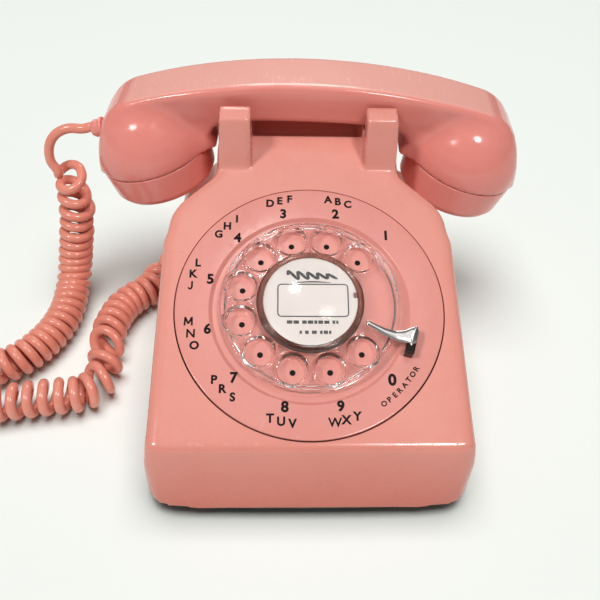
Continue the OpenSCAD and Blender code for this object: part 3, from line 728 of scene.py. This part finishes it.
def full_cord():
    """Both tails and the coil as one line, smoothed where they join."""
    a, c, b = spline(TAIL_A, 10), coil_line(), spline(TAIL_B, 10)
    line = np.concatenate([a[:-4], c[4:-4], b[4:]])
    line = resample(line, 0.9)
    k = np.array([1, 2, 3, 2, 1.0]) / 9
    for i in range(3):
        padded = np.pad(line[:, i], 2, mode="edge")
        line[2:-2, i] = np.convolve(padded, k, "valid")[2:-2]
    line[:, 2] = np.maximum(line[:, 2], LOWEST)
    return resample(line, 1.15)


CORD_LINE = full_cord()
cord = tube("handset_cord", CORD_LINE, STRAND_R)
scene.collection.objects.link(cord)
cord.data.materials.append(CORD)
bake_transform(cord)
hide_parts("cord_tail_handset", "cord_coil", "cord_tail_base")

# ---- housing
FRONT = -106.0
FOOT_Z = 7.5  # lower edge of the housing
WALL = 2.6
BUTTON_X = 34.8  # of each cradle button and of its slot


def slope_z(y):
    """Height of the sloping face."""
    return DIAL_Z + (y - DIAL_Y) * math.tan(SLOPE)


# SIDE is the housing from the side, PLAN from above; BLOCK is the plan of the wide front block, FACE its face, and
# NECK the face of the narrower cradle behind it.
SIDE = Outline([(FRONT + 0.6, -20), (FRONT, FOOT_Z)]
               + arc(-95.8, slope_z(-95.8) - 3.9 / math.cos(SLOPE), 3.9, 170, 113, 10)
               + [(40.2, slope_z(40.2)), (41.6, slope_z(41.6) - 0.3), (42.3, 103.2), (44.6, 92), (47.2, 88.6),
                  (49.5, 88), (63.5, 88), (66.6, 88.8), (68.8, 91.5), (70.3, 99), (71.8, 100.5), (82.4, 100.5),
                  (84.6, 99.2), (85.5, 97), (103.5, 16), (107.5, -20)], soft=0.45, step=0.4)
PLAN = Outline(both([(0, FRONT - 1), (25, FRONT - 0.8), (47, FRONT + 0.1), (59, FRONT + 1.4), (66.2, FRONT + 4.2),
                     (70.4, FRONT + 9.0), (72.4, FRONT + 16), (73.6, FRONT + 30), (73, -50), (71.2, -12), (72, 20),
                     (71.5, 55), (69.6, 80), (66.5, 92), (62, 100), (54, 104.5), (44, 106), (0, 106.5)]), soft=1.2)
BLOCK = Outline(both([(0, -130), (95, -130), (95, -14), (66.2, -6), (64.6, 1.5), (60.5, 8.2), (42.5, 24),
                      (42.5, 62), (0, 62)]), soft=1.6)
FACE = Outline(both([(0, -20), (72.6, -20), (72.6, 6.5), (70.8, 24), (68.5, 45), (66.6, 83), (66, 140),
                     (0, 140)]), soft=1.0)
NECK = Outline(both([(0, -20), (72.5, -20), (72.5, 6.5), (70.7, 24), (68.6, 40), (66, 45), (60, 48.5),
                     (52, 52.5), (47.5, 57.5), (45, 65), (43.6, 80), (42.5, 95), (42.5, 140), (0, 140)]), soft=2.2)
PRONG_SIDE = Outline([(23.0, 92), (24.2, 99), (26.9, 120.0), (27.6, 121.3), (34.9, 123.3), (36.1, 122.9),
                      (36.3, 121.5), (35.9, 107.9), (37.5, 107.4), (71, 107.4), (72.6, 107.4), (73.1, 115),
                      (74.6, 117.2), (78, 117.6), (81.5, 116), (83.4, 112), (84.8, 98), (84.8, 80), (47, 84.5),
                      (41.5, 97), (32, 94.5)], soft=0.3, step=0.3)
PRONG_FACE = Outline([(26.9, 60), (42.6, 60), (42.6, 97), (41.3, 125.5), (27.0, 125.5)], soft=0.25, step=0.3)


def housing_body(x, y, z):
    """The housing as a solid block, without its prongs."""
    front = smax(BLOCK(x, y), FACE(x, z), 4.0)
    rear = smax(NECK(x, z), -8 - y, 4.0)
    return smax(SIDE(y, z), np.maximum(PLAN(x, y), smin(front, rear, 5.0)), 5.5)


def housing_field(x, y, z):
    """The hollow housing with its prongs, its button wells and the carrying grip behind the cradle."""
    ax = np.abs(x)
    body = housing_body(x, y, z)
    shell = np.maximum(body, -body - WALL)
    grip_wall = np.maximum.reduce([ax - 34.6, 74 - y, y - 97, 63.4 - z, z - 90.4, body])
    shell = smin(shell, grip_wall, 1.0)
    prong = smax(PRONG_SIDE(y, z), PRONG_FACE(ax, z), 1.3)
    shell = smin(shell, prong, 1.0)
    well = np.maximum.reduce([np.abs(ax - 34.75) - 5.4, 42 - y, y - 70, 70 - z, z - 104.6])
    shell = np.maximum(shell, -well)
    grip = smax(smax(ax - 32, 76.6 - y, 2.0), smax(66 - z, z - 87.8, 2.0), 2.0)
    shell = smax(shell, -grip, 1.2)
    return np.maximum(shell, FOOT_Z - z)


def build_housing():
    h = 1.3
    v, q = surface(housing_field, (-74.2, -108.1, 5.2), (74.2, 108.1, 125.0), h)
    o = grid_object("housing_shell", v, q)
    cutters = [rod("cut_dial", 59.8, -12, 20, DIAL, 256)]
    for side in (-1, 1):
        cutters.append(rod("cut_button", 4.5, 90, 118, posed(side * BUTTON_X, CRADLE_Y, 0), 48))
    cutters.append(rod("cut_cord", 4.6, 0, 12, posed(-76, 62, 16, math.pi / 2, "Y"), 48))
    cutters.append(rod("cut_line", 3.6, 0, 16, posed(34, 114, 14, math.pi / 2, "X"), 48))
    link(cut(o, cutters, 38), "set", PINK, ["housing"])


build_housing()


# ---- handset
CUP_COS, CUP_SIN = math.cos(CUP_TILT), math.sin(CUP_TILT)
CROWN_R = 310  # of the handset's long arched back
# TOP is the handset from the front, BAR the section of its handle, BOWL the section of each cup about its own axis.
TOP = Outline(both([(x, 131.5 - (CROWN_R - math.sqrt(CROWN_R ** 2 - x * x))) for x in range(0, 89, 8)]
                   + [(92.4, 116.4), (96.6, 112.9), (100.4, 107.8), (103, 101), (104.8, 93), (106.2, 84),
                      (107.6, 70), (40, 70), (44, 92), (49.0, 100.5), (46.2, 105.4), (42.6, 107.8), (36, 109.4),
                      (30, 110.0), (18, 110.8), (0, 111.1)]), soft=0.7)
BAR = Outline(both([(0, 60), (10.5, 60), (11.2, 104), (11.9, 108), (13.3, 113), (14.9, 121), (15.3, 124.5),
                    (15.3, 150), (0, 150)]), soft=0.5)
BOWL = Outline([(-30, 0), (-30, -14), (29, -14), (29, 0), (29.2, 3), (28.9, 7), (27.8, 12), (25.4, 17.5),
                (22, 23), (17, 28), (10, 32), (4, 34), (0, 34.4), (-30, 34.4)], soft=1.0)


def handset_field(x, y, z):
    """The handle with both cups, hollowed for the parts inside them."""
    ax = np.abs(x)
    up = (z - CUP_Z) * CUP_COS + (ax - CUP_X) * CUP_SIN
    out = (ax - CUP_X) * CUP_COS - (z - CUP_Z) * CUP_SIN
    r = np.sqrt(out ** 2 + y ** 2)
    solid = smin(BAR(y, z), BOWL(r, up), 7.0)
    d = smax(TOP(x, z), solid, 3.2)
    d = smax(d, -up, 0.7)
    d = np.maximum(d, -np.maximum(r - 22, up - 10))
    return np.maximum(d, -np.maximum(r - 15, up - 14))


def build_handset():
    h = 1.1
    v, q = surface(handset_field, (-109.2, -31.4, 75.0), (109.2, 31.4, 134.0), h)
    o = grid_object("handset_shell", v, q, HAND)
    sharpen(o, 50)
    link(o, "handset", PINK_HAND, ["handset_handle"])
    cap = rounded([(0, -18), (12, -18.0), (21.4, -17.9), (25.6, -17), (27.5, -14), (28.9, -0.45), (22, -0.45),
                   (22, 5), (20, 5), (20, -13), (18.6, -15.6), (0, -15.6)],
                  [0, 3, 3, 2.2, 2.5, 0.5, 0.2, 0.4, 0.4, 0.8, 0.8, 0], 5)
    # each ring of sound holes: distance from the middle, how many, radius of each
    for side, name, rings in ((1, "receiver", ((0, 1, 1.2), (6.5, 6, 1.2))),
                              (-1, "transmitter", ((0, 1, 1.0), (5, 6, 1.0), (10, 12, 1.0)))):
        place = cup_frame(side)
        o = turned(name + "_cap_shell", cap, place, 256, False, 50)
        holes = []
        for ring, count, rad in rings:
            for k in range(count):
                at = posed(*polar(ring, 360 * k / count), 0)
                holes.append(rod("cut_hole", rad, -21, -13, place @ at, 24))
        link(cut(o, holes, 40), "handset", PINK_HAND, [name + "_cap"])


build_handset()
gland = rounded([(0, -2), (3, -2), (3, 1.0), (5.0, 1.2), (5.3, 2.2), (4.5, 3.4), (4.5, 5.6), (3.7, 7.3), (2.7, 7.8),
                 (2.5, 6.6), (0, 6.4)], [0, 0.2, 0.1, 0.4, 0.5, 0.7, 1.0, 0.6, 0.2, 0.1, 0], 4)
o = turned("handset_gland_sleeve", gland, HAND @ posed(-102.6, 0, 97.6, math.radians(-104), "Y"), 64, False)
link(o, "handset", PINK_HAND, ["handset_gland"])
gland = rounded([(2.4, -2), (4.4, -2), (4.4, 4), (6, 4.4), (5.4, 6.2), (4.2, 7), (2.4, 7)],
                [0, 0.2, 0.1, 0.6, 0.6, 0.4, 0.2], 3)
o = turned("housing_gland_sleeve", gland, posed(-66, 62, 16, -math.pi / 2, "Y"), 64)
link(o, "set", CORD, ["housing_gland"])


# ---- dial
WHEEL_R = 39.3
HOLES_R = 31  # of the circle that the finger holes lie on
HOLE_STEP = math.radians(30)
FIRST_HOLE = math.radians(45)
BLANK = math.radians(-75), math.radians(-15)  # the part with no holes, measured from the first one
plate = rounded([(8, -2), (8, -0.8), (42.9, -0.8), (44.4, 0.75), (59.2, 0.75), (59.2, -5), (57.8, -5),
                 (57.8, -2)], [0, 0, 0.5, 0.6, 0.55, 0.1, 0.1, 0.2], 6)
o = turned("dial_number_plate", plate, DIAL, 256)
link(o, "set", PINK_PLATE, ["number_plate"])

WHEEL = Outline([(9, 2.9), (36.8, 2.9), (37.5, 1.2), (WHEEL_R, 1.2), (WHEEL_R, 4.9), (38.6, 5.7), (9, 5.7)],
                soft=0.22, step=0.2, pad=6)


def hole_distance(x, y):
    """Distance from the middle of the nearest finger hole."""
    r = np.sqrt(x * x + y * y)
    a = np.arctan2(y, x) - FIRST_HOLE
    k = np.round(a / HOLE_STEP) * HOLE_STEP
    rho = np.sqrt((r * np.cos(a - k) - HOLES_R) ** 2 + (r * np.sin(a - k)) ** 2)
    far = 30.0
    return np.where((k > BLANK[0]) & (k < BLANK[1]), far, rho)


def wheel_field(x, y, z):
    """The clear wheel: a disc with a skirt, and a raised lip round its edge and round each finger hole."""
    r = np.sqrt(x * x + y * y)
    rho = hole_distance(x, y)
    lip = np.sqrt((rho - 7.2) ** 2 + (z - 5.7) ** 2) - 0.62
    d = smin(WHEEL(r, z), np.maximum(lip, r - WHEEL_R), 0.5)
    rim = np.sqrt((r - 38.6) ** 2 + (z - 5.2) ** 2) - 0.65
    d = smin(d, rim, 0.4)
    bore = (rho - (6.15 + 0.17 * (z - 3))) * 0.98
    return smax(d, -bore, 0.5)


def build_wheel():
    h = 0.32
    v, q = surface(wheel_field, (-41, -41, 0.2), (41, 41, 7.2), h)
    o = grid_object("finger_wheel_clear", v, q, DIAL, wheel_field)
    edge = o.data.attributes.new("edge", "FLOAT", "POINT")
    rho, r = hole_distance(v[:, 0], v[:, 1]), np.hypot(v[:, 0], v[:, 1])
    dark = np.maximum(np.clip(1 - np.abs(rho - 6.6) / 0.8, 0, 1), np.clip((r - 37.4) / 1.0, 0, 1))
    edge.data.foreach_set("value", dark.astype(np.float32))
    link(o, "finger_wheel_body", CLEAR, ["finger_wheel"])


build_wheel()
ring = rounded([(20.6, 5.62), (23.4, 5.62), (23.4, 7.0), (22.5, 8.1), (21.5, 8.2), (20.7, 7.8)],
               [0.1, 0.2, 0.5, 0.5, 0.4, 0.3], 4)
link(turned("card_ring", ring, DIAL, 192), "finger_wheel_body", AMBER, ["card_retainer"])
pane = rounded([(0, 6.5), (20.45, 6.5), (20.45, 7.65), (0, 7.65)], [0, 0.2, 0.35, 0], 4)
link(turned("card_cover", pane, DIAL, 192, False), "finger_wheel_body", WINDOW, ["card_window"])


def flat_shape(outline, z0, z1):
    """Closed plate from one outline, in mm."""
    n = len(outline)
    v = [(x, y, z1) for x, y in outline] + [(x, y, z0) for x, y in outline]
    f = [list(range(n)), list(range(2 * n - 1, n - 1, -1))]
    f += [[i, i + n, (i + 1) % n + n, (i + 1) % n] for i in range(n)]
    return v, f


CARD_R = 20.4
rim = [polar(CARD_R, a) for a in np.linspace(12, 364.4, 180)]
notch = [(18.7, 1.6), (18.7, 4.2)]
v, f = flat_shape(rim + notch, 5.92, 6.28)
o = mesh_object("number_card_disc", v, f, DIAL, smooth=False)
link(o, "finger_wheel_body", CARD, ["number_card"])


# ---- marks on the dial
def letter(char, height, bold):
    """Points and faces of one character, centred, with the height given in mm."""
    cu = bpy.data.curves.new("letter", "FONT")
    cu.body, cu.size, cu.offset, cu.resolution_u = char, 1.0, bold, 4
    ob = bpy.data.objects.new("letter", cu)
    scene.collection.objects.link(ob)
    me = bpy.data.meshes.new_from_object(ob.evaluated_get(bpy.context.evaluated_depsgraph_get()))
    v = np.array([p.co for p in me.vertices], float)
    f = [list(p.vertices) for p in me.polygons]
    bpy.data.objects.remove(ob)
    bpy.data.curves.remove(cu)
    bpy.data.meshes.remove(me)
    v -= (v.min(0) + v.max(0)) / 2
    return v * height / (v[:, 1].max() - v[:, 1].min()), f


def gathered(items):
    """Points and faces of several (points, faces) as one."""
    points = [np.asarray(v, float) for v, f in items]
    start = np.cumsum([0] + [len(v) for v in points])
    return np.concatenate(points), [[i + int(n) for i in q] for n, (v, f) in zip(start, items) for q in f]


def marks(name, items, z, body, material):
    """One mesh from (points, faces, x, y, turn in degrees) items lying on the dial at height z."""
    laid = []
    for v, f, x, y, turn in items:
        c, s = math.cos(math.radians(turn)), math.sin(math.radians(turn))
        flat = [x + v[:, 0] * c - v[:, 1] * s, y + v[:, 0] * s + v[:, 1] * c, np.full(len(v), z)]
        laid.append((np.stack(flat, 1), f))
    link(mesh_object(name, *gathered(laid), DIAL, smooth=False), body, material)


def disc(r):
    a = np.linspace(0, 2 * np.pi, 32, endpoint=False)
    return np.stack([r * np.cos(a), r * np.sin(a), 0 * a], 1), [list(range(len(a)))]


def stroke(points, width):
    """Flat ribbon along a line, as (points, faces)."""
    p = np.array(points, float)
    t = np.gradient(p, axis=0)
    t /= np.linalg.norm(t, axis=1)[:, None]
    side = np.stack([-t[:, 1], t[:, 0]], 1)
    w = (np.asarray(width) * np.ones(len(p)) / 2)[:, None]
    v = np.concatenate([p + side * w, p - side * w])
    n = len(p)
    v = np.concatenate([v, np.zeros((len(v), 1))], 1)
    return v, [[i, i + n, i + 1 + n, i + 1] for i in range(n - 1)]


def pen(height, width, *lines):
    """A character drawn with bars, with the height given in mm."""
    return gathered([stroke([(x * height, y * height) for x, y in line], width * height) for line in lines])


LETTER, BAR_WIDTH = 3.95, 0.20  # height of the group letters, and of a drawn bar against it


def group_letter(ch):
    """A letter of a group. The font's M and J don't match the rest, so they are drawn with bars."""
    if ch == "M":
        return pen(LETTER, BAR_WIDTH, [(-0.40, -0.5), (-0.36, 0.5)], [(0.40, -0.5), (0.36, 0.5)],
                   [(-0.36, 0.46), (0, -0.30)], [(0.36, 0.46), (0, -0.30)])
    if ch == "J":
        return pen(LETTER, BAR_WIDTH, [(0.18, 0.5), (0.18, -0.22), (0.12, -0.38), (-0.02, -0.45), (-0.16, -0.38),
                                       (-0.20, -0.26)])
    return letter(ch, LETTER, 0.026 if ch in "WN" else 0.040)


def dial_marks():
    """Figures and letters stand upright; OPERATOR follows the curve.

    figures holds each figure's angle and distance from the dial's middle; groups holds each group's text, the angle
    of its middle letter, the angle from one letter to the next, and how far out it stands.
    """
    items, dots = [], []
    figures = [(45, 50.1), (74.9, 48.1), (104.2, 47.8), (133.9, 46.9), (163.5, 46.0), (193.3, 45.7), (225.0, 45.9),
               (256.2, 46.3), (285.4, 46.4), (316.0, 48.0)]
    groups = [("ABC", 75.3, -4.95, 0), ("DEF", 104.0, -4.9, 0), ("GHI", 133.2, -6.0, 0), ("JKL", 163.2, -6.1, 0),
              ("MNO", 193.8, 6.15, 0), ("PRS", 225.2, 5.95, 0), ("TUV", 256.2, 5.2, 0.5), ("WXY", 286.0, 5.3, 0.4)]
    for k, (a, R) in enumerate(figures):
        items.append((*letter("1234567890"[k], 4.95 if k < 9 else 5.4, 0.042), *polar(R, a), 0))
        dots.append((*disc(1.3), *polar(HOLES_R, 45.2 + 30 * k, 0.2), 0))
    for text, a, gap, out in groups:
        for j, ch in enumerate(text):
            b = a + (j - 1) * gap
            R = 53.5 + 1.4 * math.sin(math.radians(b)) + out
            items.append((*group_letter(ch), *polar(R, b), 0))
    for j, ch in enumerate("OPERATOR"):
        a = 304.9 + 3.27 * j
        items.append((*letter(ch, 2.45, 0.034), *polar(53.3, a), a - 270))
    marks("dial_figures", items, 0.80, "set", INK_BLACK)
    marks("dial_dots", dots, -0.74, "set", INK_BLACK)


dial_marks()


# ---- printed card
def card_print():
    """Generic print on the number card: a flourish, an empty number box and two rows of rules."""
    items = []
    t = np.linspace(0, 1, 90)
    x = -9.5 + 20.5 * t - 1.1 * np.sin(4 * np.pi * t * 2.4)
    y = 12.4 + 2.1 * np.sin(2 * np.pi * t * 4.8) * (1 - 0.55 * t) - 0.6 * t
    items.append((*stroke(np.stack([x, y], 1), 0.75 + 0.6 * np.abs(np.cos(2 * np.pi * t * 4.8))), 0, 0, 0))
    t = np.linspace(0, 1, 30)
    items.append((*stroke(np.stack([-7 + 16 * t, 8.7 + 0.5 * np.sin(3 * t)], 1), 0.25 + 0.4 * np.sin(np.pi * t)),
                  0, 0, 0))
    (cx, cy), (half_x, half_y), r = (1.15, 0.5), (15.2, 7.5), 1.6
    box = []
    for sx, sy, a in ((1, 1, 0), (-1, 1, 90), (-1, -1, 180), (1, -1, 270)):
        box += arc(cx + sx * (half_x - r), cy + sy * (half_y - r), r, a, a + 90, 8)
    items.append((*stroke(box + box[:2], 0.55), 0, 0, 0))
    rng = np.random.RandomState(4)
    for y, x0, x1 in ((-9.6, -10.2, 12.0), (-14.2, -4.8, 8.3)):
        x = x0
        while x < x1:
            w = 0.9 + 1.5 * rng.rand()
            items.append((*stroke([(x, y), (x + w * 0.5, y), (min(x + w, x1), y)], 1.5), 0, 0, 0))
            x += w + 0.45 + (0.9 if rng.rand() > 0.6 else 0)
    marks("card_print", items, 6.34, "finger_wheel_body", INK_GREY)


card_print()


# ---- finger stop
ARM = Outline([(24, -8.6), (28, -10.6), (32, -12.5), (36, -13.6), (40, -13.4), (43, -12), (45.6, -11.6),
               (46.2, -13.4), (44.6, -19.4), (41, -19.2), (36, -18), (31, -15.8), (27, -13), (23.4, -10.8)],
              soft=0.35, step=0.2, pad=6)


def turned_about(x, y, cx, cy, degrees):
    """x and y measured from a point, along axes turned by the given angle."""
    c, s = math.cos(math.radians(degrees)), math.sin(math.radians(degrees))
    return (x - cx) * c + (y - cy) * s, -(x - cx) * s + (y - cy) * c


def stop_field(x, y, z):
    """The stop's crowned arm over the wheel, and the wall that it turns down into outside the wheel."""
    plan = ARM(x, y)
    crown = 8.05 - 0.075 * np.maximum(2.6 + plan, 0) ** 2
    arm = smax(plan, smax(z - crown, 6.95 - z, 0.3), 0.5)
    u, v = turned_about(x, y, 45.9, -11.8, -20)
    wall = smax(smax(u + 0.05, -1.15 - u, 0.2), smax(v + 0.1, -9.3 - v, 0.4), 0.5)
    wall = smax(wall, smax(z - 8.05, 0.3 - z, 0.2), 0.7)
    return smin(arm, wall, 0.5)


def flange_field(x, y, z):
    """The foot of the stop, turned down into the dial's recess."""
    u, v = turned_about(x, y, 43.2, -18.0, -16)
    return smax(smax(np.abs(u) - 1.9, np.abs(v) - 5.6, 0.5), smax(z - 6.7, 0.2 - z, 0.3), 0.5)


def build_stop():
    h = 0.25
    v, q = surface(stop_field, (20.5, -26.5, -0.6), (49.5, -6.5, 9.4), h)
    o = grid_object("finger_stop_steel", v, q, DIAL, stop_field)
    link(o, "set", CHROME, ["finger_stop"])
    v, q = surface(flange_field, (38, -26.5, -0.6), (49, -9.5, 8), h)
    o = grid_object("finger_stop_foot", v, q, DIAL, flange_field)
    # painted shade: the foot is the stop's own steel made near black, as it lies in shade down in the recess
    link(o, "set", SHADE_PAINTED_STEEL)


build_stop()


# ---- floor and light
def paper():
    m, nt, p = new_material("pale_floor")
    oc = object_coords(nt)
    tone = mix(nt, ramp(nt, noise(nt, oc, 3.0, 3.0), [(0.3, 0.0), (0.7, 1.0)]), (0.630, 0.655, 0.622),
               (0.622, 0.647, 0.614))
    put(nt, p, Base_Color=tone, Roughness=0.85, Specular_IOR_Level=0.2,
        Normal=bump(nt, noise(nt, oc, 350, 3.0), 0.05, 0.00003))
    return m


def build_floor():
    """One flat sheet just under the phone that runs well past the view."""
    n, below = 60, -0.4
    v = [(-2600 + 5200 * i / n, -2000 + 5600 * j / n, below) for i in range(n + 1) for j in range(n + 1)]
    corners = [i * (n + 1) + j for i in range(n) for j in range(n)]
    o = mesh_object("floor_sheet", v, [[a, a + n + 1, a + n + 2, a + 1] for a in corners])
    scene.collection.objects.link(o)
    o.data.materials.append(paper())
    return o


def area(name, towards, reach, size, power, colour=(1, 1, 1)):
    """Square soft light, reach metres from the phone in the given direction."""
    data = bpy.data.lights.new(name, "AREA")
    data.energy, data.color, data.size = power, colour, size
    o = bpy.data.objects.new(name, data)
    scene.collection.objects.link(o)
    v, aim = Vector(towards).normalized(), Vector((0, 0, 0.07))
    o.matrix_world = Matrix.Translation(v * reach + aim) @ v.to_track_quat("Z", "Y").to_matrix().to_4x4()
    return o


def only_on(light, floor, lit):
    """Shine a light on the floor sheet alone, or on everything but it."""
    group = bpy.data.collections.new(light.name + "_targets")
    group.objects.link(floor)
    light.light_linking.receiver_collection = group
    group.collection_objects[0].light_linking.link_state = "INCLUDE" if lit else "EXCLUDE"


RIG = (
    # name, direction, metres away, side in metres, watts
    ("key_left", (-0.50, -0.36, 0.79), 2.5, 0.42, 28.0),
    ("key_right", (0.25, -0.46, 0.85), 2.5, 0.36, 28.0),
    ("overhead", (0.0, 0.0, 1.0), 2.2, 1.1, 4.0),
    ("back_panel", (0.0, 0.72, 0.69), 2.2, 0.8, 13.0),
    ("lamp_above", (-0.02, 0.03, 1.0), 1.75, 0.07, 0.5),
)
WARM_WHITE = (1.0, 0.985, 0.97)
floor = build_floor()
for lamp in RIG:
    only_on(area(*lamp, WARM_WHITE), floor, False)
only_on(area("floor_wash", (0, 0, 1), 2.9, 2.2, 136.0), floor, True)

world = bpy.data.worlds.new("studio")
scene.world = world
world.use_nodes = True
sky = world.node_tree.nodes["Background"].inputs
sky["Color"].default_value = (0.97, 0.98, 0.96, 1)
sky["Strength"].default_value = 0.13
scene.view_settings.view_transform = "Standard"
scene.view_settings.look = "None"
